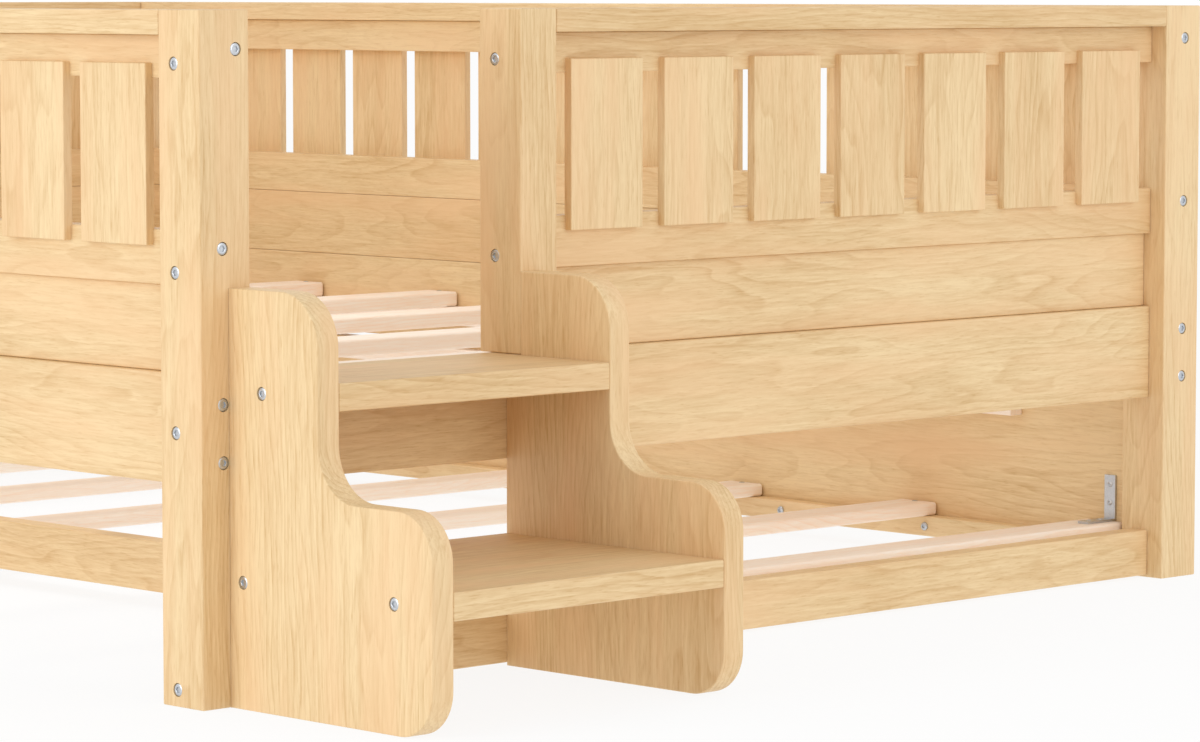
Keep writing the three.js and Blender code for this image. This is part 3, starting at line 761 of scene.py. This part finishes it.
class BED_OT_platform(bpy.types.Operator):
    """Make the platform's raw cleats and slats"""

    bl_idname = "bed.platform"
    bl_label = "Make platform"

    def execute(self, context):
        for hand in HANDS:
            node_block("platform_cleat_" + hand, sizes().strip_edge, "bed", raw=True)
        for node in nodes_named("platform_slat_"):
            node_block(node, sizes().slat_edge, "bed", raw=True)
        return {"FINISHED"}


def corner_arc(centre, radius, start, end, count=16):
    """Points of an arc in the panel's outline, with angles in quarter turns from the way back to the bed."""
    angle = np.linspace(start, end, count) * math.pi / 2
    return np.array(centre) + radius * np.stack([np.cos(angle), np.sin(angle)], -1)


def stair_outline(low, high, notch):
    """The side outline of a stair panel as (y, z) points, from its top at the back round to the floor.

    Straight stretches join quarter circles: convex at the toe, the shoulder and the top, hollow between the
    two steps. A notch at the back, where given as (y, z), takes the entrance post. A point a little way in
    front of each back corner ends the rounded edge there.
    """
    s = sizes()
    tread_low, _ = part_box("stair_tread_upper")
    front, step, back = low.y, tread_low.y, high.y
    toe, shoulder, inner, top = (s.stair_toe_radius, s.stair_shoulder_radius, s.stair_inner_radius,
                                 s.stair_top_radius)
    top_back = notch[0] if notch else back
    rows = [
        [notch, (notch[0], high.z)] if notch else [(back, high.z)],
        [(top_back - s.panel_edge, high.z)],
        corner_arc((step + top, high.z - top), top, 1, 2),
        corner_arc((step - inner, s.stair_shoulder + inner), inner, 0, -1),
        corner_arc((front + shoulder, s.stair_shoulder - shoulder), shoulder, 1, 2),
        corner_arc((front + toe, toe), toe, -2, -1),
        [(back - s.panel_edge, 0.0), (back, 0.0)],
        [(back, notch[1])] if notch else [],
    ]
    return np.concatenate([np.array(row, float).reshape(-1, 2) for row in rows])


def offset_ways(outline):
    """The way in which each corner of a closed outline moves when all its edges move outward by 1.

    With the two edges' outward unit normals n and m, it is (n + m) / (1 + n . m).
    """
    edges = np.roll(outline, -1, 0) - outline
    edges /= np.linalg.norm(edges, axis=1, keepdims=True)
    after = np.column_stack([edges[:, 1], -edges[:, 0]])
    before = np.roll(after, 1, 0)
    return (after + before) / (1 + (after * before).sum(1, keepdims=True))


class BED_OT_stair(bpy.types.Operator):
    """Make the stair's stepped side panels and its two treads"""

    bl_idname = "bed.stair"
    bl_label = "Make stair"

    def execute(self, context):
        post_low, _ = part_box("post_entrance")
        self.panel("left", None)
        self.panel("right", (post_low.y - JOINT, post_low.z - JOINT))
        for node in ("stair_tread_upper", "stair_tread_lower"):
            node_block(node, sizes().rail_edge, "bed", along=X)
        return {"FINISHED"}

    def panel(self, hand, notch):
        """One panel: its outline in rings across its thickness, drawn in at both faces, then counterbored.

        Ring k at angle a lies edge * (1 - cos a) inside the outline and edge * (1 - sin a) under the face.
        """
        node, count, back_share = "stair_panel_" + hand, 7, 0.15
        low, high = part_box(node)
        outline = stair_outline(low, high, notch)
        ways = offset_ways(outline)
        at_back = outline[:, 0] > (notch[0] if notch else high.y) - JOINT
        edge = np.where(at_back, back_share, 1.0) * sizes().panel_edge
        angle = np.linspace(math.pi / 2, 0, count)[:, None]
        drawn = outline - ways * (edge * (1 - np.cos(angle)))[:, :, None]
        under = edge * (1 - np.sin(angle))
        near = np.concatenate([(low.x + under)[:, :, None], drawn], -1)
        far = np.concatenate([(high.x - under)[:, :, None], drawn], -1)[::-1]
        mesh = new_mesh(node + "_wood", *ring_surface(np.concatenate([near, far])))
        place_bored(node, counterbored(node + "_wood", mesh, [place for place, _ in stair_bolts(hand)], X))


class BED_OT_trundle(bpy.types.Operator):
    """Make the trundle's boards, cleats, top strip and slats"""

    bl_idname = "bed.trundle"
    bl_label = "Make trundle"

    def execute(self, context):
        node_block("trundle_front_board", sizes().rail_edge, "trundle")
        node_block("trundle_rear_rail", sizes().rail_edge, "trundle")
        for node in ("trundle_cleat_front", "trundle_cleat_rear"):
            node_block(node, sizes().strip_edge, "trundle")
        node_block("trundle_top_strip", sizes().strip_edge, "trundle", raw=True)
        for node in nodes_named("trundle_slat_"):
            node_block(node, sizes().slat_edge, "trundle", raw=True)
        return {"FINISHED"}


class BED_OT_castors(bpy.types.Operator):
    """Make the castor wheels, and finish the steel forks and brackets"""

    bl_idname = "bed.castors"
    bl_label = "Make castors"

    def execute(self, context):
        for name in CASTORS:
            self.wheel("castor_wheel_" + name, "wheel_" + name)
            self.plate("castor_fork_" + name)
        for end in ENDS:
            self.plate("trundle_bracket_" + end)
        return {"FINISHED"}

    def wheel(self, node, body):
        """A wheel with a bore, a hub, a dished web and a tread with round edges."""
        low, high = (np.array(corner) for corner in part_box(node))
        radius, half = (high[Z] - low[Z]) / 2, (high[Y] - low[Y]) / 2
        bend = np.linspace(0, math.pi / 2, 6)
        edge, dish, slope = 3 * MM, 2 * MM, 0.6 * MM
        rim = np.column_stack([radius - edge + edge * np.cos(bend), half - edge + edge * np.sin(bend)])
        bore, hub, web = 4.35 * MM, 9 * MM, 15 * MM
        near = [(web, half), (web - slope, half - dish), (hub + slope, half - dish), (hub, half),
                (bore, half)]
        side = np.concatenate([rim, near])
        profile = np.concatenate([side[::-1] * (1, -1), side])
        mesh = new_mesh(node + "_nylon", *lathe(profile, (low + high) / 2))
        mesh.set_sharp_from_angle(angle=math.radians(40))
        new_piece(node + "_nylon", mesh, moulded_plastic(), body, "wheel_plastic", node)

    def plate(self, node):
        """A bent steel solid that keeps its own shape, with the zinc finish and slightly rounded edges."""
        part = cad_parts[node]
        part.data.materials.clear()
        part.data.materials.append(zinc_plate())
        edges = part.modifiers.new("rounded edges", "BEVEL")
        edges.limit_method, edges.angle_limit = "ANGLE", math.radians(50)
        edges.width, edges.segments = 0.4 * MM, 2


# Heads of the bolts and screws

SOCKET_DEPTH = 1.5 * MM
CROWN = 0.7 * MM
CLEAT_SOCKET_RADIUS = 2.6 * MM
CLEAT_BOLT_SINK = 0.6 * MM
SCREW_HEIGHT = 1.2 * MM
SCREW_SOCKET_RADIUS = 1.6 * MM
SCREW_SOCKET_DEPTH = 0.9 * MM
SCREW_CROWN = 0.6 * MM
SCREW_SINK = 0.3 * MM
BRACKET_SCREW_SINK = 0.2 * MM
BRACKET_THICKNESS = 3 * MM
BRACKET_SCREW_SHARES = (0.4, 0.8)


class BED_OT_hardware(bpy.types.Operator):
    """Make the bolt heads, and the screws of the slats and brackets"""

    bl_idname = "bed.hardware"
    bl_label = "Make bolts and screws"

    def execute(self, context):
        s = sizes()
        depth = s.counterbore_depth - s.bolt_sink
        head = socket_head(s.bolt_radius, depth, s.socket_radius, SOCKET_DEPTH, CROWN)
        rows = all_bed_bolts()
        floors = [np.array(place) - np.array(way) * s.counterbore_depth for place, way in rows]
        self.group("frame_bolts", head, floors, [way for _, way in rows], "bed")
        self.cleat_bolts(socket_head(s.cleat_bolt_radius, depth, CLEAT_SOCKET_RADIUS, SOCKET_DEPTH, CROWN))
        screw = socket_head(s.screw_radius, SCREW_HEIGHT, SCREW_SOCKET_RADIUS, SCREW_SOCKET_DEPTH,
                            SCREW_CROWN, 24)
        self.slat_screws("platform", screw, "bed")
        self.slat_screws("trundle", screw, "trundle")
        self.bracket_screws(screw)
        return {"FINISHED"}

    def group(self, name, shape, origins, axes, body):
        """One piece of many like heads."""
        mesh = new_mesh(name, *turned_copies(*shape, origins, axes))
        mesh.set_sharp_from_angle(angle=math.radians(38))
        return new_piece(name, mesh, zinc_plate(), body, "zinc_steel")

    def cleat_bolts(self, head):
        """Bolts along both trundle cleats, into the boards behind them, with one place left empty."""
        s, empty_place = sizes(), 5
        for cleat, way in (("trundle_cleat_front", -1), ("trundle_cleat_rear", 1)):
            low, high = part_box(cleat)
            face = low.x if way < 0 else high.x
            count = int((high.y - low.y) / s.cleat_bolt_pitch) + 1
            row = low.y + s.cleat_bolt_end + s.cleat_bolt_pitch * np.arange(count)
            places = np.delete(row, empty_place)
            origins = [(face - way * CLEAT_BOLT_SINK, y, (low.z + high.z) / 2) for y in places]
            self.group(cleat + "_bolts", head, origins, [(way, 0, 0)] * len(places), "trundle")

    def slat_screws(self, kind, screw, body):
        """A screw near each end of each slat, on the cleats' middle lines."""
        cleats = {"platform": ("platform_cleat_left", "platform_cleat_right"),
                  "trundle": ("trundle_cleat_rear", "trundle_cleat_front")}[kind]
        lines = [(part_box(cleat)[0].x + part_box(cleat)[1].x) / 2 for cleat in cleats]
        origins = []
        for node in nodes_named(kind + "_slat_"):
            low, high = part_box(node)
            origins += [(x, (low.y + high.y) / 2, high.z - SCREW_SINK) for x in lines]
        self.group(kind + "_slat_screws", screw, origins, [(0, 0, 1)] * len(origins), body)

    def bracket_screws(self, screw):
        """Two screws in each leg of the trundle's angle brackets."""
        origins, axes = [], []
        for end in ENDS:
            low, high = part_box("trundle_bracket_" + end)
            y = (low.y + high.y) / 2
            seat = BRACKET_THICKNESS - BRACKET_SCREW_SINK
            for share in BRACKET_SCREW_SHARES:
                origins.append((high.x - seat, y, low.z + share * (high.z - low.z)))
                axes.append((-1, 0, 0))
                origins.append((high.x - share * (high.x - low.x), y, low.z + seat))
                axes.append((0, 0, 1))
        self.group("bracket_screws", screw, origins, axes, "trundle")


class BED_OT_stage(bpy.types.Operator):
    """Make the floor, the soft lights, the world and the camera"""

    bl_idname = "bed.stage"
    bl_label = "Make studio"

    def execute(self, context):
        context.scene.view_settings.view_transform = "Standard"
        self.floor()
        self.world(context.scene)
        self.lamps()
        self.camera(context.scene)
        return {"FINISHED"}

    def seen_directly(self, tree):
        """1 where a ray comes from the camera or by way of a glossy or clear surface."""
        path = add_node(tree, "ShaderNodeLightPath")
        seen = math_node(tree, "MAXIMUM", path.outputs["Is Camera Ray"], path.outputs["Is Glossy Ray"])
        return math_node(tree, "MAXIMUM", seen, path.outputs["Is Transmission Ray"])

    def floor(self):
        """A pale floor that keeps the bed's soft shadow, part of its white given straight to the camera."""
        half, lit_share, seen_share = 40.0, 0.65, 0.62
        corners = [(-half, -half, 0), (half, -half, 0), (half, half, 0), (-half, half, 0)]
        mesh = bpy.data.meshes.new("floor")
        mesh.from_pydata(corners, [], [(0, 1, 2, 3)])
        floor = bpy.data.objects.new("floor", mesh)
        bpy.context.scene.collection.objects.link(floor)
        material, tree = new_material("matt_pale_paint")
        place = add_node(tree, "ShaderNodeTexCoord").outputs["Object"]
        # Rolled paint with a stipple of about 6 mm.
        stipple = spots(tree, place, 6)
        bump = add_node(tree, "ShaderNodeBump", inputs={"Height": stipple, "Strength": 0.02})
        paint = add_node(tree, "ShaderNodeBsdfDiffuse", inputs={"Color": (*colours().floor, 1),
                                                                "Normal": bump.outputs[0]})
        # A studio floor lit from below keeps the underside of the bed light.
        lit = blend(tree, lit_share, paint, white_light(tree, "ShaderNodeEmission", 1.02))
        share = math_node(tree, "MULTIPLY", self.seen_directly(tree), seen_share)
        finish_material(tree, blend(tree, share, lit, white_light(tree, "ShaderNodeEmission", 1.0)))
        mesh.materials.append(material)

    def world(self, scene):
        """An even soft sky for the light, and plain white where it is seen."""
        scene.world = bpy.data.worlds.new("studio")
        scene.world.use_nodes = True
        tree = scene.world.node_tree
        tree.nodes.clear()
        sky = white_light(tree, "ShaderNodeBackground", 0.83)
        white = white_light(tree, "ShaderNodeBackground", 1.0)
        seen = blend(tree, self.seen_directly(tree), sky, white)
        add_node(tree, "ShaderNodeOutputWorld", inputs={"Surface": seen.outputs[0]})

    def lamps(self):
        """A broad key from the left, a weak fill from the front and a narrow top light over the platform."""
        self.lamp("key", (-8.0, 0.5, 2.0), 4.0, 185.0)
        self.lamp("fill", (1.0, -8.0, 2.4), 4.0, 95.0)
        top = self.lamp("top", (0.0, 0.3, 3.2), 1.0, 2.0)
        top.data.spread, top.rotation_euler = math.radians(42), (0, 0, 0)

    def lamp(self, name, place, size, power):
        """One square soft lamp."""
        data = bpy.data.lights.new(name, "AREA")
        data.size, data.energy = size, power
        lamp = bpy.data.objects.new(name, data)
        bpy.context.scene.collection.objects.link(lamp)
        lamp.location = place
        aim = np.array([0.0, 0.0, 0.3]) - np.array(place)
        lamp.rotation_euler = (math.atan2(math.hypot(aim[0], aim[1]), -aim[2]), 0,
                               math.atan2(aim[1], aim[0]) - math.pi / 2)
        return lamp

    def camera(self, scene):
        """The photograph's view, with the focal length in pixels of the photograph.

        The photograph's upright lines are parallel, as a shifted lens draws them. This camera is tilted down
        instead, so that the frame needs no shift.
        """
        photo_width_px, focal_px, sensor_mm = 1200, 4647.5, 36.0
        yaw, pitch = 0.7673, 0.08233
        aside, in_front, eye_height = 3.0860, 3.8057, 0.7651
        corner_x, corner_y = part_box("post_foot_left")[0].xy
        data = bpy.data.cameras.new("camera")
        data.sensor_width, data.lens = sensor_mm, focal_px / photo_width_px * sensor_mm
        data.clip_end = 200.0
        camera = bpy.data.objects.new("camera", data)
        scene.collection.objects.link(camera)
        camera.location = (corner_x - aside, corner_y - in_front, eye_height)
        camera.rotation_euler = (math.pi / 2 - pitch, 0, -yaw)
        scene.camera = camera


class BED_PT_pieces(bpy.types.Panel):
    """The bed's sizes, colours and pieces"""

    bl_idname = "BED_PT_pieces"
    bl_label = "Platform bed"
    bl_space_type = "VIEW_3D"
    bl_region_type = "UI"
    bl_category = "Bed"

    def draw(self, context):
        for group in (context.scene.bed_sizes, context.scene.bed_colours):
            column = self.layout.column(align=True)
            for name in group.__annotations__:
                column.prop(group, name)
        for operator in OPERATORS:
            self.layout.operator(operator.bl_idname)


OPERATORS = (BED_OT_posts, BED_OT_side_members, BED_OT_guard_panels, BED_OT_platform, BED_OT_stair,
             BED_OT_trundle, BED_OT_castors, BED_OT_hardware, BED_OT_stage)
CLASSES = (BedSizes, BedColours, *OPERATORS, BED_PT_pieces)


def register():
    """Registers the classes and hangs the sizes and colours on the scene."""
    for item in CLASSES:
        bpy.utils.register_class(item)
    bpy.types.Scene.bed_sizes = bpy.props.PointerProperty(type=BedSizes)
    bpy.types.Scene.bed_colours = bpy.props.PointerProperty(type=BedColours)


def unregister():
    """Takes the sizes, colours and classes away again."""
    del bpy.types.Scene.bed_sizes
    del bpy.types.Scene.bed_colours
    for item in reversed(CLASSES):
        bpy.utils.unregister_class(item)


def main():
    """Registers the add-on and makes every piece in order."""
    register()
    for operator in OPERATORS:
        group, name = operator.bl_idname.split(".")
        getattr(getattr(bpy.ops, group), name)()


if __name__ == "__main__":
    main()
